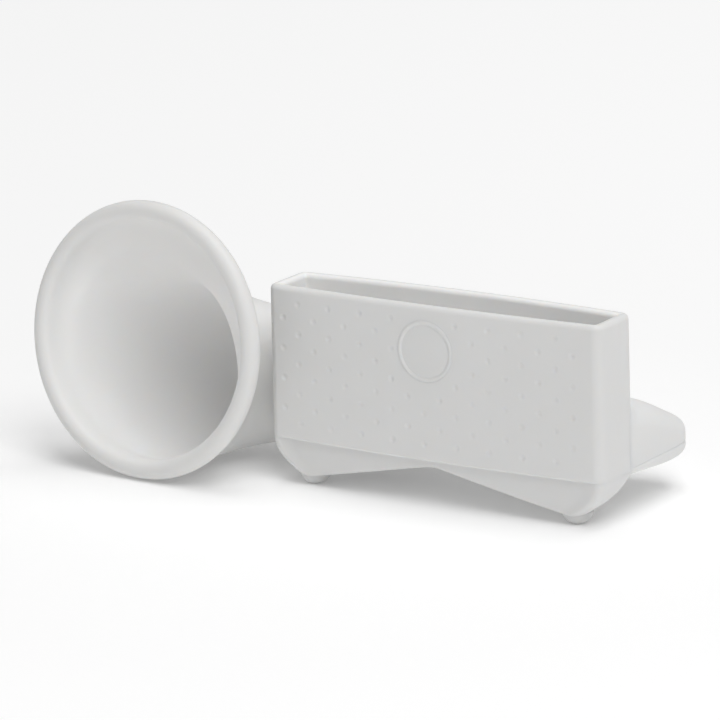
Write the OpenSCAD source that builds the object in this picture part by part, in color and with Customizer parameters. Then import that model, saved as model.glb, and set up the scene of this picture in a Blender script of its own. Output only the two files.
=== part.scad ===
// Passive horn stand for a phone, moulded in white silicone rubber.
// The phone stands upright in the slot of the dock. Its loudspeaker plays through the
// ports of the slot floor into a chamber, then through a window in the dock's rear wall
// into a tapered duct that runs behind the dock and opens out into the horn.
// Millimetres. Z is up, the front looks along -Y, and the stand rests on z = 0.

/* [Dock] */
// Length of the dock, along the front
dock_l = 65; // [60:0.5:72]
// Thickness of the dock at its two ends
dock_t = 11.4; // [9:0.1:13]
// How far the front wall bows forward in the middle
front_bow = 1.0; // [0:0.1:2]
// How far the rear wall bows backward in the middle
rear_bow = 1.35; // [0:0.05:2]
// Height of the dock's top lip
top_z = 34.9; // [32:0.1:38]
// Height of the dock wall's lower edge
panel_z = 8.2; // [7.5:0.1:9]
// Thickness of the silicone walls
wall = 1.8; // [1.4:0.1:2]
// Plan radius of the dock's upright corners
corner_r = 1.9; // [1.9:0.1:3]
// How much the dock narrows on each side from bottom to top
draft = 0.2; // [0:0.05:0.6]

/* [Phone slot] */
// Depth of the slot below the lip
slot_depth = 17.5; // [14:0.5:19]
// Thickness of the slot floor
floor_t = 2.2; // [1.5:0.1:3]
// Length of each sound port in the slot floor
port_l = 17; // [12:0.5:20]
// Width of each sound port
port_w = 4.4; // [3:0.1:5]

/* [Plinth and feet] */
// Height of the plinth's underside above the table
plinth_z = 1.7; // [1.5:0.1:2.2]
// Height of the arch at the middle of the plinth
arch_z = 7.1; // [6:0.1:7.4]
// Fall of the arch for each millimetre away from the middle
arch_slope = 0.215; // [0.15:0.005:0.24]
// Distance of each front foot from the middle of the dock
front_foot_x = 25.8; // [22:0.1:27]
// Distance of each rear foot from the middle of the dock
rear_foot_x = 20; // [18:0.5:22]
// Radius of a foot
foot_r = 2.6; // [2.2:0.1:2.9]

/* [Horn] */
// Distance of the horn's mouth from the middle of the dock
mouth_x = 53.4; // [51:0.1:55]
// How far the mouth stands in front of the dock's ends
mouth_front = 6; // [5:0.1:9]
// Radius of the circle along the middle of the rolled rim
rim_r = 22.3; // [21:0.1:24]
// Radius of the rolled rim's own section
bead_r = 1.64; // [1.4:0.02:1.9]
// Upward tilt of the mouth, in degrees
mouth_tilt = 7; // [0:0.5:9]
// Turn of the mouth towards the dock's side, in degrees
mouth_yaw = -3; // [-4:0.5:3]
// Clearance between the rim and the table
rim_clear = 0.3; // [0.1:0.1:1]
// Outer radius of the neck, where the horn plugs into the duct
neck_r = 10.2; // [9.5:0.1:11]
// Height of the neck's axis
neck_z = 13.7; // [13:0.1:16]
// Length over which the flare dies away
flare = 28; // [20:1:30]
// Length over which the mouth's rise above the neck dies away
lift = 12; // [12:0.5:16]

/* [Duct] */
// Distance of the duct's rear edge behind the dock's front, at its closed end
tail_y = 32.2; // [29:0.1:33]
// Height of the duct's parting line at its closed end
tail_z = 8.5; // [8:0.1:10]

/* [Emblem] */
// Radius of the emblem
emblem_r = 5.3; // [4:0.1:6]
// Place of the emblem along the dock
emblem_x = -0.5; // [-2:0.1:2]
// Height of the emblem's centre
emblem_z = 27.1; // [24:0.1:28]

/* [Hidden] */
$fn = 48;

// Gap left between two mouldings that are bonded or plugged together
fit = 0.05;
silicone = "whitesmoke";

// Slot, chamber and window
slot_z = top_z - slot_depth;
chamber_z = slot_z - floor_t;
lip_r = wall / 2;
window_l = 50;
window_z = [panel_z + 3.1, chamber_z - 0.2];
port_x = 17;

// Plinth
plinth_inset = 0.9;
upstand_t = 1.4;
upstand_h = 2.6;
plinth_corner = 5.2;
plinth_curve = 2.2;
apex_r = 0.8;
front_slant = 0.8;
rear_slant = 6.2;

// Feet: each is a dome with a stem that is pressed into a socket
front_foot_y = 3.6;
rear_foot_y = 22;
foot_flat_r = 1.1;
stem_r = 1.2;
stem_l = 2.4;
leg_r = 3;

// Horn: straight behind the mouth, a quarter turn, then straight into the duct
mouth_z = rim_clear + rim_r * cos(mouth_tilt) + bead_r;
neck_y = 17.5;
turn_r = mouth_x - 34;
turn_y = neck_y - turn_r;
straight_l = turn_y + mouth_front;
turn_l = turn_r * PI / 2;
spigot_l = 4;
spigot_x = -34;
body_l = straight_l + turn_l;
path_l = body_l + spigot_l;
mouth_r = rim_r + 0.4;

// Duct
duct_x = [spigot_x, dock_l / 2];
end_round = 5;
tail_half = 12;
near_half = 16;
tail_up = 8.8;
tail_down = 2.3;
tail_lean = 0.4;
tail_low_lean = 0.1;

// Emblem
emblem_t = 0.9;
ring_w = 0.7;

// The whole model is shifted so that its origin is under the middle of its bounding box
left_x = -mouth_x - rim_r - bead_r;
mouth_swing = norm([cos(mouth_yaw) * sin(mouth_tilt), sin(mouth_yaw)]);
front_y = -mouth_front - rim_r * mouth_swing - bead_r;
shift = [-(left_x + dock_l / 2) / 2, -(front_y + tail_y) / 2, 0];

function smooth(u) = u * u * (3 - 2 * u);
function mix(a, b, u) = a + (b - a) * u;

// A closed skin over a list of rings that all have the same number of points.
// loop = true joins the last ring to the first; otherwise both ends are capped.
module skin(rings, loop = false) {
    n = len(rings[0]);
    m = len(rings);
    points = [for (ring = rings) each ring];
    last = loop ? m - 1 : m - 2;
    sides = [for (i = [0:last]) for (j = [0:n - 1])
        let (a = i * n + j, b = i * n + (j + 1) % n,
             c = ((i + 1) % m) * n + (j + 1) % n, d = ((i + 1) % m) * n + j)
        each [[a, c, b], [a, d, c]]];
    caps = loop ? [] : [[for (j = [0:n - 1]) j], [for (j = [n - 1:-1:0]) (m - 1) * n + j]];
    polyhedron(points, concat(sides, caps), convexity = 6);
}

// ---- Dock ----

// Plan outline of the dock, moved inward by an inset: two bowed walls and round corners
function dock_outline(inset) =
    let (a = dock_l / 2 - inset, r = max(corner_r - inset, 0.4), flat = a - r, steps = 14,
         y0 = inset, y1 = dock_t - inset)
    concat(
        [for (i = [0:steps]) let (x = mix(-flat, flat, i / steps))
            [x, y0 - front_bow * (1 - pow(x / flat, 2))]],
        [for (w = [-72:18:0]) [flat + r * cos(w), y0 + r + r * sin(w)]],
        [for (w = [18:18:72]) [flat + r * cos(w), y1 - r + r * sin(w)]],
        [for (i = [0:steps]) let (x = mix(flat, -flat, i / steps))
            [x, y1 + rear_bow * (1 - pow(x / flat, 2))]],
        [for (w = [108:18:180]) [-flat + r * cos(w), y1 - r + r * sin(w)]],
        [for (w = [198:18:252]) [-flat + r * cos(w), y0 + r + r * sin(w)]]);

function dock_ring(inset, z) = [for (p = dock_outline(inset)) [p[0], p[1], z]];

// Inset of the dock's outer face at a height, from the draft of the mould
function dock_inset(z) = draft * (z - panel_z) / (top_z - panel_z);

module dock_solid(inset, z0, z1) {
    translate([0, 0, z0]) linear_extrude(z1 - z0) polygon(dock_outline(inset));
}

// The space that the dock and its plinth take up, cut away from the horn and the duct
module dock_space() {
    dock_solid(-fit, plinth_z - 1, top_z + 1);
}

module dock_sleeve() {
    edge = 0.45;
    lip_z = top_z - lip_r;
    top_inset = dock_inset(lip_z);
    outside = [[edge, panel_z], [edge * 0.3, panel_z + edge * 0.3], [0, panel_z + edge],
               [dock_inset(20), 20]];
    lip = [for (w = [0:22.5:180]) [top_inset + lip_r * (1 - cos(w)), lip_z + lip_r * sin(w)]];
    inside = [[wall, 20], [wall, panel_z]];
    color(silicone) difference() {
        skin([for (p = concat(outside, lip, inside)) dock_ring(p[0], p[1])], loop = true);
        translate([-window_l / 2, dock_t - wall - 1, window_z[0]])
            cube([window_l, wall + 4, window_z[1] - window_z[0]]);
        emblem_pocket();
    }
}

module emblem_pocket() {
    translate([emblem_x, -front_bow + dock_inset(emblem_z) + emblem_t - 0.2, emblem_z])
        rotate([90, 0, 0]) cylinder(r = emblem_r + fit, h = 3);
}

// Tray that carries the phone: a ported floor on two end walls
module slot_floor() {
    leg_l = 2;
    color(silicone) difference() {
        dock_solid(wall + fit, panel_z + upstand_h + fit, slot_z);
        translate([-dock_l / 2 + wall + leg_l, -5, panel_z])
            cube([dock_l - 2 * (wall + leg_l), dock_t + 10, chamber_z - panel_z]);
        for (side = [-1, 1]) sound_port(side * port_x);
    }
}

module sound_port(x) {
    translate([x, dock_t / 2, chamber_z - 1]) linear_extrude(floor_t + 2) union() {
        square([port_l - port_w, port_w], center = true);
        for (end = [-1, 1]) translate([end * (port_l - port_w) / 2, 0]) circle(d = port_w);
    }
}

// ---- Plinth and feet ----

// Front view of the plinth: curved lower corners and the arch between the feet
function plinth_edge(u) = [dock_l / 2 - fit - plinth_corner * pow(1 - u, plinth_curve),
    mix(plinth_z, panel_z, u)];
function plinth_front() =
    concat(
        [for (u = [9:-1:0]) plinth_edge(u / 10)],
        [for (x = [24:-3:-24])
            [x, max(plinth_z, arch_z - arch_slope * (sqrt(x * x + apex_r * apex_r) - apex_r))]],
        [for (u = [0:9]) [-plinth_edge(u / 10)[0], plinth_edge(u / 10)[1]]],
        [[-plinth_edge(1)[0], panel_z], plinth_edge(1)]);

// Side view of the plinth: front and rear slant inward towards the table
function plinth_side() = [[-front_bow, panel_z], [-front_bow + front_slant, plinth_z],
    [dock_t + rear_bow - rear_slant, plinth_z], [dock_t + rear_bow, panel_z]];

module plinth() {
    color(silicone) difference() {
        union() {
            intersection() {
                dock_solid(fit, plinth_z - 1, panel_z);
                translate([0, plinth_inset, 0]) dock_solid(fit, plinth_z - 1, panel_z);
                translate([0, 20, 0]) rotate([90, 0, 0]) linear_extrude(30) polygon(plinth_front());
                translate([-dock_l, 0, 0]) rotate([90, 0, 90])
                    linear_extrude(2 * dock_l) polygon(plinth_side());
            }
            difference() {
                dock_solid(wall + fit, panel_z - 0.5, panel_z + upstand_h);
                dock_solid(wall + fit + upstand_t, panel_z, panel_z + upstand_h + 1);
            }
            for (side = [-1, 1])
                translate([side * front_foot_x, front_foot_y, plinth_z]) cylinder(r = foot_r, h = 2);
        }
        for (side = [-1, 1]) foot_socket(side * front_foot_x, front_foot_y);
    }
}

module foot_socket(x, y) {
    translate([x, y, plinth_z - 1]) cylinder(r = stem_r, h = stem_l + 1 + fit, $fn = 24);
}

// A foot: a flattened dome under the plinth or a leg, and its stem
module foot(x, y) {
    round_r = foot_r - foot_flat_r;
    color(silicone) translate([x, y, 0]) union() {
        rotate_extrude($fn = 36) union() {
            intersection() {
                translate([foot_flat_r, round_r]) circle(r = round_r);
                square([foot_r, plinth_z]);
            }
            square([foot_flat_r, plinth_z]);
            translate([0, round_r]) square([foot_r, plinth_z - round_r]);
        }
        translate([0, 0, plinth_z - 0.3]) cylinder(r = stem_r - fit / 2, h = stem_l + 0.3, $fn = 24);
    }
}

module front_left_foot() { foot(-front_foot_x, front_foot_y); }
module front_right_foot() { foot(front_foot_x, front_foot_y); }
module rear_left_foot() { foot(-rear_foot_x, rear_foot_y); }
module rear_right_foot() { foot(rear_foot_x, rear_foot_y); }

// ---- Horn ----

// The horn's axis, by distance along it from the mouth: plan position and heading
function turn_angle(l) = 90 * min(max((l - straight_l) / turn_l, 0), 1);
function path_xy(l) =
    l < straight_l ? [-mouth_x, -mouth_front + l]
    : l < straight_l + turn_l ? [spigot_x - turn_r * cos(turn_angle(l)), turn_y + turn_r * sin(turn_angle(l))]
    : [spigot_x + l - straight_l - turn_l, neck_y];
// Share of the mouth's size and height left at a distance along the axis: 1 at the mouth, 0 at the neck
function fade(l, reach = flare) = let (end = exp(-body_l / reach)) (exp(-min(l, body_l) / reach) - end) / (1 - end);
function path_z(l) = mix(neck_z, mouth_z, fade(l, lift));
function horn_r(l) = mix(neck_r, mouth_r, fade(l));

// A ring round the axis, moved towards the mouth by ahead
function horn_ring(l, r, ahead = 0) =
    let (xy = path_xy(l), heading = 90 - turn_angle(l) + mouth_yaw * fade(l), tilt = mouth_tilt * fade(l),
         along = [cos(heading), sin(heading), 0], side = [sin(heading), -cos(heading), 0],
         up = [along[0] * sin(tilt), along[1] * sin(tilt), cos(tilt)],
         out = [-along[0] * cos(tilt), -along[1] * cos(tilt), sin(tilt)],
         centre = [xy[0], xy[1], path_z(l)] + ahead * out)
    [for (w = [0:9:351]) centre + r * (cos(w) * side + sin(w) * up)];

module horn() {
    rings_n = 20;
    lengths = [for (i = [0:rings_n]) body_l * pow(i / rings_n, 1.3)];
    outside = [for (i = [rings_n:-1:1]) horn_ring(lengths[i], horn_r(lengths[i]))];
    rim = [for (w = [120:-30:-120]) horn_ring(0, rim_r + bead_r * sin(w), bead_r * cos(w))];
    inside = [for (i = [1:rings_n]) horn_ring(lengths[i], horn_r(lengths[i]) - wall)];
    spigot = [horn_ring(path_l, neck_r - wall), horn_ring(path_l, neck_r - wall / 2 - fit),
              horn_ring(body_l, neck_r - wall / 2 - fit)];
    color(silicone) difference() {
        skin(concat(outside, rim, inside, spigot), loop = true);
        dock_space();
    }
}

// ---- Duct ----

// Share of the way along the duct, from the horn (0) to the closed end (1)
function duct_share(x) = smooth((x - duct_x[0]) / (duct_x[1] - duct_x[0]));
function part_z(x) = mix(neck_z, tail_z, duct_share(x));

// Section across the duct: round at the horn, a low leaning wedge at the closed end.
// keep shrinks the section towards the dock's rear corner, for the rounded end.
function duct_ring(x, inset, keep = 1) =
    let (s = duct_share(x), yc = mix(neck_y, tail_y - tail_half, s), zc = part_z(x),
         a = mix(neck_r, tail_half, s) - inset, up = mix(neck_r, tail_up, s) - inset,
         down = mix(neck_r, tail_down, s) - inset, lean = tail_lean * s, low_lean = tail_low_lean * s * down / (down + inset),
         near = mix(neck_r, near_half, s) - inset)
    [for (w = [0:9:351])
        let (y = (cos(w) < 0 ? near : a) * cos(w), edge = abs(sin(w)),
             z = w <= 180 ? up * pow(edge, mix(1, 0.55, s)) - lean * y * edge
                : -down * pow(edge, mix(1, 0.4, s)) - low_lean * y * edge)
        [x, mix(dock_t - corner_r, yc + y, keep), zc + z * mix(1, keep, 1.75)]];

module duct_outside() {
    straight = [for (i = [0:12]) mix(duct_x[0], duct_x[1] - end_round, i / 12)];
    skin(concat(
        [for (x = straight) duct_ring(x, 0)],
        [for (w = [18:18:90]) duct_ring(duct_x[1] - end_round * (1 - sin(w)), 0,
            1 - end_round / (tail_y - dock_t) * (1 - cos(w)))]));
}

module duct_inside() {
    xs = [for (i = [0:12]) mix(duct_x[0] + spigot_l, duct_x[1] - wall, i / 12)];
    skin([for (x = concat([duct_x[0] - 1], xs)) duct_ring(max(x, duct_x[0] - 0.01), wall)]);
    skin([for (x = [duct_x[0] - 0.5, duct_x[0] + spigot_l]) duct_ring(x, wall / 2)]);
}

module duct() {
    difference() {
        duct_outside();
        duct_inside();
        dock_space();
    }
}

// Everything above the parting line
module above_part(gap) {
    xs = [for (i = [0:16]) mix(duct_x[0] - 2, duct_x[1] + 2, i / 16)];
    line = [for (x = xs) [x, part_z(min(max(x, duct_x[0]), duct_x[1])) + gap]];
    translate([0, 40, 0]) rotate([90, 0, 0]) linear_extrude(50)
        polygon(concat(line, [[duct_x[1] + 2, 60], [duct_x[0] - 2, 60]]));
}

module duct_upper_shell() {
    color(silicone) intersection() {
        duct();
        above_part(fit / 2);
    }
}

module duct_lower_shell() {
    color(silicone) difference() {
        union() {
            difference() {
                duct();
                above_part(-fit / 2);
            }
            for (side = [-1, 1]) rear_leg(side * rear_foot_x);
        }
        for (side = [-1, 1]) foot_socket(side * rear_foot_x, rear_foot_y);
    }
}

// A leg under the duct, up to the inner face of its lower wall
module rear_leg(x) {
    difference() {
        translate([x, rear_foot_y, plinth_z]) cylinder(r = leg_r, h = part_z(x) - plinth_z);
        duct_inside();
        above_part(-fit / 2);
    }
}

// ---- Emblem ----

module emblem() {
    face = -front_bow + dock_inset(emblem_z);
    color(silicone) translate([emblem_x, face + emblem_t - 0.2 - fit, emblem_z]) rotate([90, 0, 0])
        rotate_extrude() polygon([[0, 0], [emblem_r, 0], [emblem_r, emblem_t + 0.15],
            [emblem_r - ring_w, emblem_t + 0.15], [emblem_r - ring_w, emblem_t - 0.15],
            [0, emblem_t - 0.15]]);
}

translate(shift) dock_sleeve();
translate(shift) slot_floor();
translate(shift) plinth();
translate(shift) horn();
translate(shift) duct_upper_shell();
translate(shift) duct_lower_shell();
translate(shift) emblem();
translate(shift) front_left_foot();
translate(shift) front_right_foot();
translate(shift) rear_left_foot();
translate(shift) rear_right_foot();
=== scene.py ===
"""Passive horn stand for a phone, moulded in white silicone rubber.

Shapes are worked out in the dock's own frame, in millimetres: x = 0 is the middle of the dock, y = 0
the front face at its ends, z = 0 the table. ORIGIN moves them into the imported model's frame.
"""
import math

import bpy
import bmesh
import numpy as np
from mathutils import Matrix, Vector


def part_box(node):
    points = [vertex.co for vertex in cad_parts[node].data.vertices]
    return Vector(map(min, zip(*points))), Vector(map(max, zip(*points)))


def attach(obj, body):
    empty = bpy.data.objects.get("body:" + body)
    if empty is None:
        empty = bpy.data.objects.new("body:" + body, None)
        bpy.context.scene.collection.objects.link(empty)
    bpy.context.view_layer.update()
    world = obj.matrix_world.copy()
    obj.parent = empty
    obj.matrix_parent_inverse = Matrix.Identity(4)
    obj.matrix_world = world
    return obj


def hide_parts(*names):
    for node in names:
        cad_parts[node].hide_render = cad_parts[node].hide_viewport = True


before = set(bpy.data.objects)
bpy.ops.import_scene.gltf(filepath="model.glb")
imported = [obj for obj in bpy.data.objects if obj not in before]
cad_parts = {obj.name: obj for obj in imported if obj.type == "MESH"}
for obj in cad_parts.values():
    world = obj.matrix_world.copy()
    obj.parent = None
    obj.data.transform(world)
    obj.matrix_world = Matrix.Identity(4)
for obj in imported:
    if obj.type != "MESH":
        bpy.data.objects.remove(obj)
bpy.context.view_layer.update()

MM = 0.001
BODY = "root"
# Name of the point attribute that carries painted light: how much of a lighter colour is painted into the
# slot and the horn's bell
PAINTED_LIGHT_ATTR = "inside"

# ---- Sizes, in millimetres and degrees, as in the CAD model ----
DOCK_L = 65.0
DOCK_T = 11.4
FRONT_BOW = 1.0
REAR_BOW = 1.35
TOP_Z = 34.9
PANEL_Z = 8.2
WALL = 1.8
CORNER_R = 1.9
DRAFT = 0.2
SLOT_Z = 17.4
WINDOW_L = 50.0
WINDOW_Z = (11.3, 15.0)
PLINTH_Z = 1.7
PLINTH_INSET = 0.9
PLINTH_CORNER = 5.2
PLINTH_CURVE = 2.2
FRONT_SLANT = 0.8
REAR_SLANT = 6.2
ARCH_Z = 7.1
ARCH_SLOPE = 0.215
APEX_R = 0.8
# The front feet are 0.25 further in than in the CAD model, so that the plinth's edge covers their tops
FRONT_FOOT = (25.8, 3.85)
REAR_FOOT = (20.0, 22.0)
FOOT_R = 2.6
FOOT_DOME = 2.1
FRONT_FOOT_TOP = 2.25
REAR_FOOT_TOP = 2.5
LEG_R = 3.0
MOUTH_X = 53.4
MOUTH_FRONT = 6.0
RIM_R = 22.3
BEAD_R = 1.64
MOUTH_TILT = 7.0
MOUTH_YAW = -3.0
RIM_CLEAR = 0.3
NECK_R = 10.2
NECK_Z = 13.7
FLARE = 28.0
LIFT = 12.0
TAIL_Y = 32.2
TAIL_Z = 8.5
EMBLEM_R = 5.3
EMBLEM_X = -0.5
EMBLEM_Z = 27.1

# A lathed profile starts and ends this close to its own axis
AXIS = 0.001

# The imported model's origin is under the middle of its box, so the dock's own frame is found from its node
dock_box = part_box("dock_sleeve")
ORIGIN = Vector(((dock_box[0][0] + dock_box[1][0]) / 2, dock_box[0][1] + FRONT_BOW * MM, 0.0))


# ---- Mesh helpers ----

def mix(a, b, u):
    return a + (b - a) * u


def smooth(u):
    u = min(max(u, 0.0), 1.0)
    return u * u * (3 - 2 * u)


def skin(name, rings, loop=False):
    """A closed mesh through rings of equal length. The two ends are capped, or joined in a loop."""
    rings = np.asarray(rings, float)
    m, n = rings.shape[:2]
    points = rings.reshape(-1, 3) * MM + np.array(ORIGIN)
    faces = []
    for i in range(m if loop else m - 1):
        a, b = i * n, ((i + 1) % m) * n
        faces += [(a + j, a + (j + 1) % n, b + (j + 1) % n, b + j) for j in range(n)]
    if not loop:
        faces.append(tuple(range(n - 1, -1, -1)))
        faces.append(tuple((m - 1) * n + j for j in range(n)))
    mesh = bpy.data.meshes.new(name)
    mesh.from_pydata([tuple(p) for p in points], [], faces)
    mesh.validate()
    obj = bpy.data.objects.new(name, mesh)
    bpy.context.scene.collection.objects.link(obj)
    return obj


def lathe(name, profile, centre, segments=96):
    """A closed profile of (radius, height) turned round a vertical line."""
    cx, cy = centre
    rings = []
    for k in range(segments):
        w = 2 * math.pi * k / segments
        rings.append([(cx + r * math.cos(w), cy + r * math.sin(w), z) for r, z in profile])
    obj = skin(name, rings, loop=True)
    bm = bmesh.new()
    bm.from_mesh(obj.data)
    bmesh.ops.remove_doubles(bm, verts=bm.verts, dist=1e-7)
    bmesh.ops.dissolve_degenerate(bm, dist=1e-8, edges=bm.edges)
    bmesh.ops.recalc_face_normals(bm, faces=bm.faces)
    bm.to_mesh(obj.data)
    bm.free()
    return obj


def prism(name, outline, z0, z1):
    """An outline in plan, anticlockwise, raised from z0 to z1."""
    return skin(name, [[(x, y, z0) for x, y in outline], [(x, y, z1) for x, y in outline]])


def box(name, low, high):
    outline = [(low[0], low[1]), (high[0], low[1]), (high[0], high[1]), (low[0], high[1])]
    return prism(name, outline, low[2], high[2])


def stadium(cx, cy, length, width, steps=24):
    """A long outline with round ends."""
    r = width / 2
    points = []
    for side in (1, -1):
        for k in range(steps + 1):
            w = math.radians(-90 * side + 180 * k / steps)
            points.append((cx + side * (length / 2 - r) + r * math.cos(w), cy + r * math.sin(w)))
    return points


def boolean(obj, other, operation):
    """Apply a boolean of obj with other, then delete other."""
    mod = obj.modifiers.new("cut", "BOOLEAN")
    mod.operation = operation
    mod.solver = "MANIFOLD"
    mod.object = other
    apply_modifiers(obj)
    bpy.data.objects.remove(other, do_unlink=True)
    return obj


def apply_modifiers(obj):
    depsgraph = bpy.context.evaluated_depsgraph_get()
    mesh = bpy.data.meshes.new_from_object(obj.evaluated_get(depsgraph))
    obj.modifiers.clear()
    old = obj.data
    obj.data = mesh
    bpy.data.meshes.remove(old)


def soften(obj, width, angle=40):
    """Round the edges that are sharper than an angle."""
    mod = obj.modifiers.new("soften", "BEVEL")
    mod.width = width * MM
    mod.segments = 3
    mod.limit_method = "ANGLE"
    mod.angle_limit = math.radians(angle)
    mod.use_clamp_overlap = True
    apply_modifiers(obj)


def finish_mesh(obj, angle=35):
    """Outward normals, smooth shading, and sharp edges above an angle."""
    bm = bmesh.new()
    bm.from_mesh(obj.data)
    bmesh.ops.remove_doubles(bm, verts=bm.verts, dist=2e-7)
    bmesh.ops.recalc_face_normals(bm, faces=bm.faces)
    limit = math.radians(angle)
    for edge in bm.edges:
        edge.smooth = len(edge.link_faces) != 2 or edge.calc_face_angle(0) < limit
    for face in bm.faces:
        face.smooth = True
    bm.to_mesh(obj.data)
    bm.free()
    return obj


def install(obj, material, *nodes):
    """Ride a piece on the body, give it its material and slot, and hide the CAD nodes it stands for."""
    obj.data.materials.clear()
    obj.data.materials.append(material)
    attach(obj, BODY)
    if nodes:
        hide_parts(*nodes)
    return obj


def mark_painted_light(obj, shares):
    """Store each point's share, 0 to 1, of the lighter colour painted into hollows, which is painted light
    standing in for the light that fills them.
    """
    layer = obj.data.attributes.new(PAINTED_LIGHT_ATTR, "FLOAT", "POINT")
    layer.data.foreach_set("value", shares)


# ---- Material ----

def silicone_material(name, tint=(0.775, 0.775, 0.77), grain=1.0, seed=0.0):
    """Moulded silicone: soft light under the surface, a faint cloudiness, a fine matt grain and dust.

    It is painted lighter where a mesh is marked with painted light: a lighter colour that stands in for the
    light filling the slot and the horn's bell.
    """
    mat = bpy.data.materials.new(name)
    mat.use_nodes = True
    nodes, links = mat.node_tree.nodes, mat.node_tree.links
    shader = nodes["Principled BSDF"]
    shader.inputs["IOR"].default_value = 1.41
    shader.inputs["Specular IOR Level"].default_value = 0.42
    shader.inputs["Subsurface Weight"].default_value = 0.3
    shader.inputs["Subsurface Radius"].default_value = (1.0, 0.85, 0.7)
    shader.inputs["Subsurface Scale"].default_value = 0.0007
    shader.inputs["Sheen Weight"].default_value = 0.06
    shader.inputs["Sheen Roughness"].default_value = 0.4
    coords = nodes.new("ShaderNodeTexCoord")
    place = nodes.new("ShaderNodeMapping")
    place.inputs["Location"].default_value = (seed, seed * 0.7, -seed)
    links.new(coords.outputs["Object"], place.inputs["Vector"])

    def noise(scale, detail, rough=0.5):
        node = nodes.new("ShaderNodeTexNoise")
        node.inputs["Scale"].default_value = scale
        node.inputs["Detail"].default_value = detail
        node.inputs["Roughness"].default_value = rough
        links.new(place.outputs["Vector"], node.inputs["Vector"])
        return node

    def ramp(source, stops):
        node = nodes.new("ShaderNodeValToRGB")
        while len(node.color_ramp.elements) < len(stops):
            node.color_ramp.elements.new(0.5)
        for element, (at, colour) in zip(node.color_ramp.elements, stops):
            element.position = at
            element.color = (*colour, 1)
        links.new(source, node.inputs["Fac"])
        return node

    def bump(height, strength, distance):
        node = nodes.new("ShaderNodeBump")
        node.inputs["Strength"].default_value = strength
        node.inputs["Distance"].default_value = distance
        links.new(height.outputs["Fac"], node.inputs["Height"])
        return node

    def blend(kind, low, high):
        """A colour mix of two sockets, or of a socket and a constant colour."""
        node = nodes.new("ShaderNodeMix")
        node.data_type = "RGBA"
        node.blend_type = kind
        links.new(low, node.inputs[6])
        if isinstance(high, tuple):
            node.inputs[7].default_value = (*high, 1)
        else:
            links.new(high, node.inputs[7])
        return node

    cloud = noise(55, 5, 0.55)
    r, g, b = tint
    duller = (r * 0.975, g * 0.975, b * 0.97)
    colour = ramp(cloud.outputs["Fac"], [(0.3, duller), (0.7, tint)])
    # Painted light: a lighter colour mixed in by the share marked on each point
    inside = nodes.new("ShaderNodeAttribute")
    inside.attribute_name = PAINTED_LIGHT_ATTR
    lighter = blend("MIX", colour.outputs["Color"], (0.97, 0.968, 0.96))
    links.new(inside.outputs["Fac"], lighter.inputs["Factor"])
    dust = noise(2600, 2, 0.6)
    specks = ramp(dust.outputs["Fac"], [(0.76, (1, 1, 1)), (0.8, (0.93, 0.925, 0.91))])
    tinted = blend("MULTIPLY", lighter.outputs[2], specks.outputs["Color"])
    tinted.inputs["Factor"].default_value = 0.5
    links.new(tinted.outputs[2], shader.inputs["Base Color"])
    rough = noise(140, 4)
    roughness = nodes.new("ShaderNodeMapRange")
    roughness.inputs["To Min"].default_value = 0.44
    roughness.inputs["To Max"].default_value = 0.6
    links.new(rough.outputs["Fac"], roughness.inputs["Value"])
    links.new(roughness.outputs["Result"], shader.inputs["Roughness"])
    waves = bump(noise(260, 3), 0.25 * grain, 0.00012)
    fine_grain = bump(noise(5200, 3, 0.6), 0.35 * grain, 0.00002)
    links.new(waves.outputs["Normal"], fine_grain.inputs["Normal"])
    links.new(fine_grain.outputs["Normal"], shader.inputs["Normal"])
    return mat


SILICONE = silicone_material("white_silicone")
# Lit and shaded copies of the dock's white silicone: the horn and the duct are painted a little lighter, as
# painted light, and the feet darker, as painted shade
SILICONE_HORN_LIT = silicone_material("white_silicone_horn_lit", tint=(0.8, 0.798, 0.79), seed=0.31)
SILICONE_DUCT_LIT = silicone_material("white_silicone_duct_lit", tint=(0.82, 0.82, 0.815), seed=0.53)
SILICONE_FOOT_SHADED = silicone_material("white_silicone_foot_shaded", tint=(0.7, 0.7, 0.695), grain=1.4, seed=0.77)


# ---- Dock ----

def plan_outline(half, y0, y1, r, flat_steps=320, turn_steps=14):
    """Rounded plan outline with bowed walls, anticlockwise: front wall, right end, rear wall, left end."""
    flat = half - r
    points = []
    for i in range(flat_steps + 1):
        x = mix(-flat, flat, i / flat_steps)
        points.append((x, y0 - FRONT_BOW * (1 - (x / flat) ** 2)))

    def turn(cx, cy, start):
        for k in range(1, turn_steps):
            w = math.radians(start + 90 * k / turn_steps)
            points.append((cx + r * math.cos(w), cy + r * math.sin(w)))

    def end(x, ys):
        for y in ys:
            points.append((x, y))

    middle = (y0 + y1) / 2
    turn(flat, y0 + r, -90)
    end(half, (y0 + r, middle, y1 - r))
    turn(flat, y1 - r, 0)
    rear_steps = flat_steps // 4
    for i in range(rear_steps + 1):
        x = mix(flat, -flat, i / rear_steps)
        points.append((x, y1 + REAR_BOW * (1 - (x / flat) ** 2)))
    turn(-flat, y1 - r, 90)
    end(-half, (y1 - r, middle, y0 + r))
    turn(-flat, y0 + r, 180)
    return points


def dock_outline(inset, flat_steps=320, turn_steps=14):
    r = max(CORNER_R - inset, 0.4)
    return plan_outline(DOCK_L / 2 - inset, inset, DOCK_T - inset, r, flat_steps, turn_steps)


def away_from_ends(x):
    """0 at the dock's two ends, rising smoothly to 1 along its front and rear walls."""
    reach = 3.0
    return smooth((DOCK_L / 2 - abs(x)) / reach)


def dock_inset(z):
    """How far the drafted outside wall has come in at a height."""
    return DRAFT * (z - PANEL_Z) / (TOP_Z - PANEL_Z)


DOT_R = 0.7425
DOT_DEPTH = 0.17
DOT_PITCH = (3.135, 2.61)
DOT_START = (-0.95, 11.2)
DOT_COLUMNS = 9
DOT_ROWS = 9
DOT_CLEAR = 1.2


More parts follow.
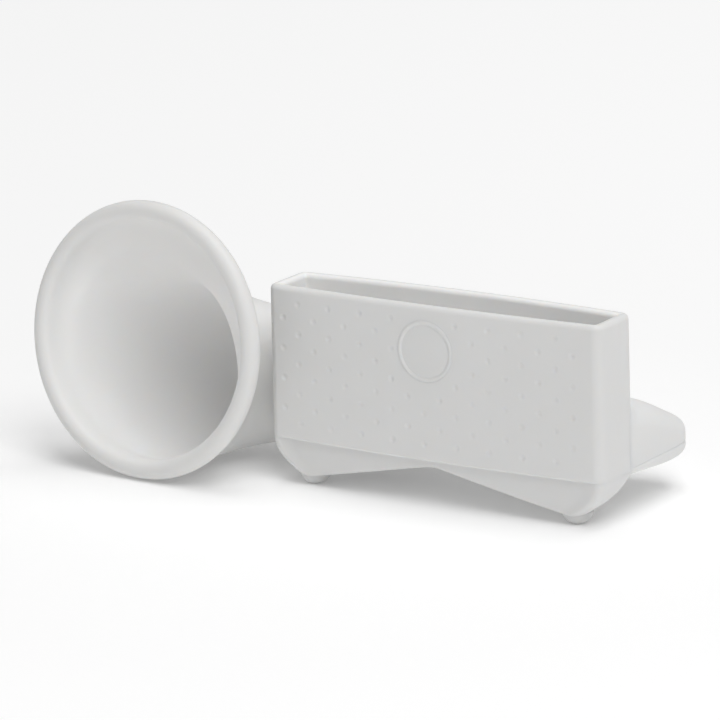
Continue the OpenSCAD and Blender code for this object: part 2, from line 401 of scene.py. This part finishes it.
def dot_depth(x, z):
    """How deep the diamond lattice of dimples is at a point of the front face."""
    column = round((x - DOT_START[0]) / DOT_PITCH[0])
    row = round((z - DOT_START[1]) / DOT_PITCH[1])
    if abs(column) > DOT_COLUMNS or not 0 <= row < DOT_ROWS or (row + column) % 2:
        return 0.0
    cx, cz = DOT_START[0] + column * DOT_PITCH[0], DOT_START[1] + row * DOT_PITCH[1]
    if math.hypot(cx - EMBLEM_X, cz - EMBLEM_Z) < EMBLEM_R + DOT_CLEAR:
        return 0.0
    gap = min(math.hypot(x - cx, z - cz) / DOT_R, 1)
    return DOT_DEPTH * 0.5 * (1 + math.cos(math.pi * gap))


def slot_light_share(point):
    """Share of painted light: 0 outside the dock and up to the top of its lip, rising to 1 on the slot's
    own walls.
    """
    x, y, z = point
    if z <= PANEL_Z + 0.1:
        return 0.0
    front_y = -FRONT_BOW * (1 - (x / (DOCK_L / 2)) ** 2)
    depth = min(DOCK_L / 2 - abs(x), y - front_y, rear_y(x) - y)
    return smooth((depth - WALL / 2) / (WALL / 2))


def lay_on_front(obj):
    """Turn a lathed piece so that its axis points into the front face at the emblem's centre."""
    face = -FRONT_BOW + dock_inset(EMBLEM_Z)
    to_origin = Matrix.Translation(-ORIGIN)
    turn = Matrix.Rotation(math.radians(-90), 4, "X")
    place = Matrix.Translation(ORIGIN + Vector((EMBLEM_X, face, EMBLEM_Z)) * MM)
    obj.data.transform(place @ turn @ to_origin)
    return obj


def make_dock():
    lip_r = WALL / 2
    lip_z = TOP_Z - lip_r
    top_inset = dock_inset(lip_z)
    edge_r, edge_steps, wall_steps, lip_steps = 0.6, 8, 150, 20
    # (inset, height): the rounded lower edge, the drafted wall, the rolled lip, and the slot's own wall
    profile = [(edge_r + 0.5, PANEL_Z), (edge_r, PANEL_Z)]
    for k in range(1, edge_steps + 1):
        w = math.radians(90 * k / edge_steps)
        profile.append((edge_r * (1 - math.sin(w)), PANEL_Z + edge_r * (1 - math.cos(w))))
    lower_edge = len(profile)
    for k in range(1, wall_steps):
        z = mix(PANEL_Z + edge_r, lip_z, k / wall_steps)
        profile.append((dock_inset(z), z))
    for k in range(lip_steps + 1):
        w = math.radians(180 * k / lip_steps)
        profile.append((top_inset + lip_r * (1 - math.cos(w)), lip_z + lip_r * math.sin(w)))
    for z in (30, 24, 18, 13, PANEL_Z):
        profile.append((WALL, z))
    sheer = dock_outline(0)
    rings = []
    for k, (inset, z) in enumerate(profile):
        ring = []
        outer = k >= lower_edge and inset < WALL * 0.5 and z < lip_z
        for (x, y), (x_out, y_out) in zip(dock_outline(inset), sheer):
            if k < lower_edge:
                share = away_from_ends(x_out)
                x, y = mix(x_out, x, share), mix(y_out, y, share)
            if outer and y < DOCK_T / 3 and abs(x) < DOCK_L / 2 - CORNER_R:
                y += dot_depth(x, z)
            ring.append((x, y, z))
        rings.append(ring)
    dock = skin("dock_wall", rings, loop=True)
    pocket_r, pocket_t = EMBLEM_R - 0.01, 0.55
    pocket = [(AXIS, -2), (pocket_r, -2), (pocket_r, pocket_t), (AXIS, pocket_t)]
    boolean(dock, lay_on_front(lathe("pocket", pocket, (0, 0), 120)), "DIFFERENCE")
    low = (-WINDOW_L / 2, DOCK_T - WALL - 1, WINDOW_Z[0])
    high = (WINDOW_L / 2, DOCK_T + 3, WINDOW_Z[1])
    boolean(dock, box("window", low, high), "DIFFERENCE")
    # Painted light: the slot's own walls get the lighter colour
    mark_painted_light(dock, [slot_light_share((vert.co - ORIGIN) / MM) for vert in dock.data.vertices])
    return install(finish_mesh(dock), SILICONE, "dock_sleeve")


# ---- Slot floor ----

def make_slot_floor():
    """The shelf the phone stands on, with a leg at each end and two sound ports."""
    leg_l, leg_z, shelf_t, play = 2, 10.85, 2.2, 0.05
    port_x, port_l, port_w = 17, 17, 4.4
    outline = dock_outline(WALL + play, flat_steps=96, turn_steps=10)
    floor = prism("slot_floor_tray", outline, leg_z, SLOT_Z)
    room_x = DOCK_L / 2 - WALL - leg_l
    room = box("room", (-room_x, -6, leg_z - 1.85), (room_x, DOCK_T + 6, SLOT_Z - shelf_t))
    boolean(floor, room, "DIFFERENCE")
    for side in (-1, 1):
        port = prism("port", stadium(side * port_x, DOCK_T / 2, port_l, port_w), SLOT_Z - 3.4, SLOT_Z + 1.6)
        boolean(floor, port, "DIFFERENCE")
    soften(floor, 0.35)
    # The whole slot floor gets the lighter colour, as painted light
    mark_painted_light(floor, [1.0] * len(floor.data.vertices))
    return install(finish_mesh(floor), SILICONE, "slot_floor")


# ---- Plinth and feet ----

def rear_y(x):
    """Where the dock's rear face is at x, its rounded corners included."""
    flat = DOCK_L / 2 - CORNER_R
    if abs(x) <= flat:
        return DOCK_T + REAR_BOW * (1 - (x / flat) ** 2)
    gap = min(abs(x) - flat, CORNER_R)
    return DOCK_T - CORNER_R + math.sqrt(max(CORNER_R ** 2 - gap ** 2, 0))


def plinth_ring(z, inset=0.0):
    """Plan outline of the plinth at a height. Its ends curve in and its rear slants forward, lower down."""
    u = (z - PLINTH_Z) / (PANEL_Z - PLINTH_Z)
    half = DOCK_L / 2 - PLINTH_CORNER * (1 - u) ** PLINTH_CURVE
    front = FRONT_SLANT * (1 - u)
    rear = DOCK_T - REAR_SLANT * (1 - u)
    r = max(mix(2.2, CORNER_R, smooth(u)) - inset, 0.4)
    ring = []
    for x, y in plan_outline(half - inset, front + inset, rear - inset, r, flat_steps=240):
        if y < (front + rear) / 2:
            # The step under the dock's front face, which fades out towards the plinth's two ends
            y += PLINTH_INSET * mix(0.55, 1, u) * smooth((half - abs(x)) / 4.5)
        ring.append((x, y, z))
    return ring


def make_plinth():
    edge_r, levels = 0.5, 28
    rings = []
    for deg in range(90, 0, -10):
        w = math.radians(deg)
        rings.append(plinth_ring(PLINTH_Z + edge_r * (1 - math.sin(w)), edge_r * (1 - math.cos(w))))
    for k in range(levels + 1):
        rings.append(plinth_ring(mix(PLINTH_Z + edge_r, PANEL_Z, k / levels)))
    plinth = skin("plinth_block", rings[::-1])
    reach, steps = 27, 60
    arch = []
    for k in range(-steps, steps + 1):
        x = reach * k / steps
        arch.append((x, ARCH_Z - ARCH_SLOPE * (math.sqrt(x * x + APEX_R ** 2) - APEX_R)))
    outline = [(reach, 0), *arch[::-1], (-reach, 0)]
    rear, front = ([(x, y, z) for x, z in outline] for y in (DOCK_T + 6, -6))
    boolean(plinth, skin("arch", [rear, front]), "DIFFERENCE")
    return install(finish_mesh(plinth, 40), SILICONE, "plinth")


def make_foot(name, place, top, node):
    """A shallow domed foot with a small flat where it stands. Its top is buried in the part above it."""
    steps, flat_edge, sunk = 18, 16, 0.04
    profile = [(AXIS, 0.0), (FOOT_R * math.sin(math.radians(flat_edge)), 0.0)]
    for k in range(1, steps + 1):
        w = math.radians(mix(flat_edge, 90, k / steps))
        profile.append((FOOT_R * math.sin(w), max(FOOT_DOME * (1 - math.cos(w)) - sunk, 0.0)))
    profile += [(FOOT_R, top), (AXIS, top)]
    return install(finish_mesh(lathe(name, profile, place, 72)), SILICONE_FOOT_SHADED, node)


# ---- Horn ----

SPIGOT_X = -34.0
NECK_Y = 17.5
TURN_R = MOUTH_X + SPIGOT_X
TURN_Y = NECK_Y - TURN_R
STRAIGHT_L = TURN_Y + MOUTH_FRONT
BODY_L = STRAIGHT_L + TURN_R * math.pi / 2
MOUTH_Z = RIM_CLEAR + RIM_R * math.cos(math.radians(MOUTH_TILT)) + BEAD_R
MOUTH_R = RIM_R + 0.4


def fade(l, reach=FLARE):
    """1 at the horn's mouth, falling to 0 at the neck's end."""
    end = math.exp(-BODY_L / reach)
    return (math.exp(-min(l, BODY_L) / reach) - end) / (1 - end)


def horn_r(l):
    """Outer radius of the horn at a distance l from its mouth."""
    return mix(NECK_R, MOUTH_R, fade(l))


def horn_ring(l, r, ahead=0.0, count=168):
    """A ring of radius r round the horn's axis, l from the mouth and moved ahead, out of the mouth."""
    turned = math.radians(90 * min(max((l - STRAIGHT_L) / (BODY_L - STRAIGHT_L), 0), 1))
    if l < STRAIGHT_L:
        x, y = -MOUTH_X, -MOUTH_FRONT + l
    elif l < BODY_L:
        x, y = SPIGOT_X - TURN_R * math.cos(turned), TURN_Y + TURN_R * math.sin(turned)
    else:
        x, y = SPIGOT_X + l - BODY_L, NECK_Y
    heading = math.pi / 2 - turned + math.radians(MOUTH_YAW) * fade(l)
    tilt = math.radians(MOUTH_TILT) * fade(l)
    along = np.array([math.cos(heading), math.sin(heading), 0.0])
    side = np.array([math.sin(heading), -math.cos(heading), 0.0])
    rise = np.array([along[0] * math.sin(tilt), along[1] * math.sin(tilt), math.cos(tilt)])
    out = np.array([-along[0] * math.cos(tilt), -along[1] * math.cos(tilt), math.sin(tilt)])
    centre = np.array([x, y, mix(NECK_Z, MOUTH_Z, fade(l, LIFT))]) + ahead * out
    w = np.linspace(0, 2 * math.pi, count, endpoint=False)[:, None]
    return centre + r * (np.cos(w) * side + np.sin(w) * rise)


def bridge(ring_a, dir_a, ring_b, dir_b, steps):
    """Smooth rings between two, leaving and arriving along given directions."""
    reach = np.linalg.norm(ring_b - ring_a, axis=1, keepdims=True) / 2.6
    dir_a = dir_a / np.linalg.norm(dir_a, axis=1, keepdims=True)
    dir_b = dir_b / np.linalg.norm(dir_b, axis=1, keepdims=True)
    c1, c2 = ring_a + dir_a * reach, ring_b - dir_b * reach
    rings = []
    for k in range(1, steps):
        t = k / steps
        start = (1 - t) ** 3 * ring_a + 3 * t * (1 - t) ** 2 * c1
        rings.append(start + 3 * t * t * (1 - t) * c2 + t ** 3 * ring_b)
    return rings


def bead(deg):
    """A ring on the rim's rolled bead. The angle goes from 90, its outer side, to -90, its inner side."""
    w = math.radians(deg)
    return horn_ring(0, RIM_R + BEAD_R * math.sin(w), BEAD_R * math.cos(w))


def bead_heading(deg):
    """The way the bead's surface goes at an angle, from its outer side towards its inner side."""
    step = 0.573
    return bead(deg - step) - bead(deg)


def make_horn():
    steps = 90
    outer_l, inner_l = 3.2, 4.5
    from_deg, to_deg, bead_steps = 125, -74, 28
    outside = []
    inside = []
    for k in range(steps + 1):
        l = BODY_L - (BODY_L - outer_l) * (k / steps) ** 0.9
        outside.append(horn_ring(l, horn_r(l)))
        l = inner_l + (BODY_L - inner_l) * (k / steps) ** 1.1
        inside.append(horn_ring(l, horn_r(l) - WALL))
    rim = [bead(mix(from_deg, to_deg, k / bead_steps)) for k in range(bead_steps + 1)]
    to_rim = bridge(outside[-1], outside[-1] - outside[-2], rim[0], bead_heading(from_deg), 12)
    from_rim = bridge(rim[-1], bead_heading(to_deg), inside[0], inside[1] - inside[0], 20)
    rings = outside + to_rim + rim + from_rim + inside
    horn = skin("horn_bell", rings, loop=True)

    # Painted light inside the bell starts half way over the bead, and fades again towards the roof of the
    # bell, which is left darker as painted shade
    bead_light_share, shaded_roof_z, shaded_roof_fade = 0.4, 27, 12
    shares = [0.0] * (len(outside) + len(to_rim))
    shares += [bead_light_share * smooth(2 * k / len(rim) - 1) for k in range(len(rim))]
    shares += [mix(bead_light_share, 1.0, smooth((k + 1) / len(from_rim))) for k in range(len(from_rim))]
    shares += [1.0] * len(inside)
    points = [(share, z) for share, ring in zip(shares, rings) for z in ring[:, 2]]
    mark_painted_light(horn, [share * (1 - 0.8 * smooth((z - shaded_roof_z) / shaded_roof_fade)) for share, z in points])
    return install(finish_mesh(horn, 50), SILICONE_HORN_LIT, "horn")


# ---- Duct ----

DUCT_X = (SPIGOT_X, DOCK_L / 2)
END_ROUND = 5.0
TAIL_HALF = 12.0
NEAR_HALF = 16.0
TAIL_UP = 8.8
TAIL_DOWN = 2.3
TAIL_LEAN = 0.4
TAIL_LOW_LEAN = 0.1
GROOVE_DEPTH = 0.1
GROOVE_HALF = 0.26
FILLET = 3.0


def duct_share(x):
    """0 where the duct meets the horn's neck, rising smoothly to 1 at its closed end."""
    return smooth((x - DUCT_X[0]) / (DUCT_X[1] - DUCT_X[0]))


def part_z(x):
    """Height of the parting line between the duct's two shells."""
    return mix(NECK_Z, TAIL_Z, duct_share(min(max(x, DUCT_X[0]), DUCT_X[1])))


def duct_angles():
    """Degrees round a section of the duct, closer together where it crosses the parting line."""
    angles = set(range(0, 360, 2))
    for near in (0, 180, 360):
        angles |= {near + d for d in (-3, -1, -0.5, 0.5, 1, 3) if 0 < near + d < 360}
    return sorted(angles)


def duct_ring(x, inset, keep_y=1.0, keep_z=1.0, outside=False):
    """Section of the duct at x, pulled in towards the dock and the parting line by the shares it keeps.

    The outside has a fillet where it meets the dock's rear wall.
    """
    s = duct_share(x)
    yc = mix(NECK_Y, TAIL_Y - TAIL_HALF, s)
    a = mix(NECK_R, TAIL_HALF, s) - inset
    up = mix(NECK_R, TAIL_UP, s) - inset
    down = mix(NECK_R, TAIL_DOWN, s) - inset
    near = mix(NECK_R, NEAR_HALF, s) - inset
    low_lean = TAIL_LOW_LEAN * s * down / (down + inset)
    zc = part_z(x)
    beside_dock = abs(x) < DOCK_L / 2
    flush = smooth((x - DUCT_X[1] + END_ROUND) / END_ROUND)
    ring = []
    for deg in duct_angles():
        w = math.radians(deg)
        y = (near if math.cos(w) < 0 else a) * math.cos(w)
        edge = abs(math.sin(w))
        if deg <= 180:
            z = up * edge ** mix(1, 0.55, s) - TAIL_LEAN * s * y * edge
        else:
            z = -down * edge ** mix(1, 0.4, s) - low_lean * y * edge
        y = mix(DOCK_T - CORNER_R, yc + y, keep_y)
        z = z * keep_z
        if outside and deg <= 180 and beside_dock:
            t = min(max((y - rear_y(x)) / FILLET, 0), 1)
            z += FILLET * (1 - math.sqrt(1 - (1 - t) ** 2)) * smooth((x - DUCT_X[0] - 3) / 8) * keep_z
        under_skin = (dock_inset(zc + z) + 0.01) * flush
        ring.append((x - under_skin, y, zc + z))
    return ring


def duct_outside_rings():
    """Sections of the outside, with the closed end rounded in over its last stretch."""
    body_steps, end_steps = 110, 24
    start, end = DUCT_X[0] + 0.02, DUCT_X[1] - END_ROUND
    rings = [duct_ring(mix(start, end, k / body_steps), 0, outside=True) for k in range(body_steps + 1)]
    for k in range(1, end_steps + 1):
        w = math.radians(90 * k / end_steps)
        turned = 1 - math.cos(w)
        x = end + END_ROUND * math.sin(w)
        rings.append(duct_ring(x, 0, 1 - 0.24 * turned, 1 - 0.42 * turned, outside=True))
    return rings


def parting_cutter(rings):
    """A V cut that follows the parting line round the duct's far side and across its closed end."""
    path = [np.array(ring[0]) for ring in rings]
    x, y, z = path[-1]
    end_steps = 24
    path += [np.array((x, mix(y, DOCK_T - 1, k / end_steps), z)) for k in range(1, end_steps + 1)]
    reach = 0.5
    half = np.array((0, 0, GROOVE_HALF * (1 + reach / GROOVE_DEPTH)))
    wedge = []
    for k, point in enumerate(path):
        ahead = path[min(k + 1, len(path) - 1)] - path[max(k - 1, 0)]
        away = np.array((-ahead[1], ahead[0], 0.0)) / math.hypot(ahead[0], ahead[1])
        depth = GROOVE_DEPTH * smooth((point[0] - DUCT_X[0] - 2) / 20)
        edge = point + away * (reach + GROOVE_DEPTH - depth)
        wedge.append([point - away * depth, edge - half, edge + half])
    return skin("parting", wedge)


def duct_inside():
    """The hollow of the duct, open towards the horn."""
    steps = 80
    xs = [DUCT_X[0] - 1] + [mix(DUCT_X[0], DUCT_X[1] - WALL, k / steps) for k in range(steps + 1)]
    return skin("duct_inside", [duct_ring(x, WALL) for x in xs])


def above_part():
    """A block over the duct whose underside follows the parting line."""
    steps, x0, x1, top_z = 120, DUCT_X[0] - 2, DUCT_X[1] + 2, 60
    xs = [mix(x0, x1, k / steps) for k in range(steps + 1)]
    outline = [(x, part_z(x)) for x in xs] + [(x1, top_z), (x0, top_z)]
    rear, front = ([(x, y, z) for x, z in outline] for y in (45, -10))
    return skin("above", [rear, front])


def make_leg(x, y):
    """The post that a rear foot is set in: it reaches up into the lower shell but not into its hollow."""
    low, high, edge = PLINTH_Z, part_z(x) - 1.0, 0.4
    profile = [(AXIS, low), (LEG_R - edge, low), (LEG_R - 0.1, low + 0.12), (LEG_R, low + edge),
               (LEG_R, high), (AXIS, high)]
    return boolean(lathe("leg", profile, (x, y), 64), duct_inside(), "DIFFERENCE")


def make_duct():
    rings = duct_outside_rings()
    shell = skin("duct_outside", rings)
    boolean(shell, parting_cutter(rings), "DIFFERENCE")
    boolean(shell, duct_inside(), "DIFFERENCE")
    overlap = 0.03
    dock_space = [[(x, y, z) for x, y in dock_outline(dock_inset(z) + overlap, 96, 10)] for z in (1, 40)]
    boolean(shell, skin("dock_space", dock_space), "DIFFERENCE")
    lower = shell.copy()
    lower.data = shell.data.copy()
    bpy.context.scene.collection.objects.link(lower)
    upper = shell
    upper.name, lower.name = "duct_upper", "duct_lower"
    boolean(upper, above_part(), "INTERSECT")
    boolean(lower, above_part(), "DIFFERENCE")
    for side in (-1, 1):
        boolean(lower, make_leg(side * REAR_FOOT[0], REAR_FOOT[1]), "UNION")
    install(finish_mesh(upper, 40), SILICONE_DUCT_LIT, "duct_upper_shell")
    install(finish_mesh(lower, 40), SILICONE_DUCT_LIT, "duct_lower_shell")


# ---- Emblem ----

def make_emblem():
    """A gently crowned disc inside a raised round rim."""
    rim_w, rim_h, dip, crown, back = 0.75, 0.16, 0.1, 0.22, 0.5
    disc_steps, rim_steps = 30, 16
    profile = [(AXIS, back), (AXIS, dip - crown)]
    for k in range(1, disc_steps + 1):
        t = k / disc_steps
        profile.append(((EMBLEM_R - rim_w) * t, dip - crown * (1 - t * t)))
    for k in range(1, rim_steps + 1):
        t = k / rim_steps
        height = rim_h * math.sin(math.pi * t) ** 0.8
        profile.append((EMBLEM_R - rim_w * (1 - t), mix(dip, 0.02, t) - height))
    profile.append((EMBLEM_R, back))
    disc = lay_on_front(lathe("emblem_disc", profile, (0, 0), 120))
    return install(finish_mesh(disc, 60), SILICONE, "emblem")


make_dock()
make_slot_floor()
make_plinth()
foot_rows = (("front", FRONT_FOOT, FRONT_FOOT_TOP), ("rear", REAR_FOOT, REAR_FOOT_TOP))
for row, (foot_x, foot_y), foot_top in foot_rows:
    for side, sign in (("left", -1), ("right", 1)):
        make_foot(f"foot_{row}_{side}", (sign * foot_x, foot_y), foot_top, f"{row}_{side}_foot")
make_horn()
make_duct()
make_emblem()


# ---- Stage, light and camera ----

def make_stage():
    mesh = bpy.data.meshes.new("floor")
    half = 6.0
    corners = [(-half, -half, 0), (half, -half, 0), (half, half, 0), (-half, half, 0)]
    mesh.from_pydata(corners, [], [(0, 1, 2, 3)])
    floor = bpy.data.objects.new("floor", mesh)
    bpy.context.scene.collection.objects.link(floor)
    mat = bpy.data.materials.new("pale_floor")
    mat.use_nodes = True
    shader = mat.node_tree.nodes["Principled BSDF"]
    shader.inputs["Base Color"].default_value = (0.93, 0.93, 0.93, 1)
    shader.inputs["Roughness"].default_value = 0.9
    shader.inputs["Specular IOR Level"].default_value = 0.1
    shader.inputs["Emission Color"].default_value = (1, 1, 1, 1)
    # A little light of its own, growing with the distance from the object, keeps the far floor pale
    nodes, links = mat.node_tree.nodes, mat.node_tree.links
    coords = nodes.new("ShaderNodeTexCoord")
    length = nodes.new("ShaderNodeVectorMath")
    length.operation = "LENGTH"
    glow = nodes.new("ShaderNodeMapRange")
    glow.inputs["From Min"].default_value = 0.1
    glow.inputs["From Max"].default_value = 1.6
    glow.inputs["To Min"].default_value = 0.12
    glow.inputs["To Max"].default_value = 0.6
    links.new(coords.outputs["Object"], length.inputs[0])
    links.new(length.outputs["Value"], glow.inputs["Value"])
    links.new(glow.outputs["Result"], shader.inputs["Emission Strength"])
    floor.data.materials.append(mat)


def area_light(name, location, target, size, power):
    data = bpy.data.lights.new(name, "AREA")
    data.shape = "SQUARE"
    data.size = size
    data.energy = power
    obj = bpy.data.objects.new(name, data)
    obj.location = location
    obj.rotation_euler = (Vector(target) - Vector(location)).to_track_quat("-Z", "Y").to_euler()
    bpy.context.scene.collection.objects.link(obj)


make_stage()
world = bpy.data.worlds.new("studio")
world.use_nodes = True
background = world.node_tree.nodes["Background"]
background.inputs["Color"].default_value = (1, 1, 1, 1)
background.inputs["Strength"].default_value = 0.24
bpy.context.scene.world = world
area_light("overhead", (0.15, 0.1, 1.3), (0, 0, 0), 0.9, 8.0)
area_light("high_softbox", (0.85, -0.65, 1.3), (0, 0, 0.02), 0.85, 10.4)
bpy.context.scene.view_settings.view_transform = "Standard"

# The camera: where it stands in the dock's frame, and its axes
CAMERA_AT = Vector((436.49, -692.36, 243.30))
CAMERA_RIGHT = Vector((0.84184, 0.53907, -0.02675))
CAMERA_UP = Vector((-0.11673, 0.23022, 0.96611))
camera_data = bpy.data.cameras.new("camera")
camera_data.sensor_width = 36
camera_data.lens = 255.43
camera_data.clip_start = 0.01
camera = bpy.data.objects.new("camera", camera_data)
bpy.context.scene.collection.objects.link(camera)
right = CAMERA_RIGHT.normalized()
up = (CAMERA_UP - right * CAMERA_UP.dot(right)).normalized()
back = right.cross(up)
at = ORIGIN + CAMERA_AT * MM
camera.matrix_world = Matrix((
    (right.x, up.x, back.x, at.x),
    (right.y, up.y, back.y, at.y),
    (right.z, up.z, back.z, at.z),
    (0, 0, 0, 1)))
bpy.context.scene.camera = camera
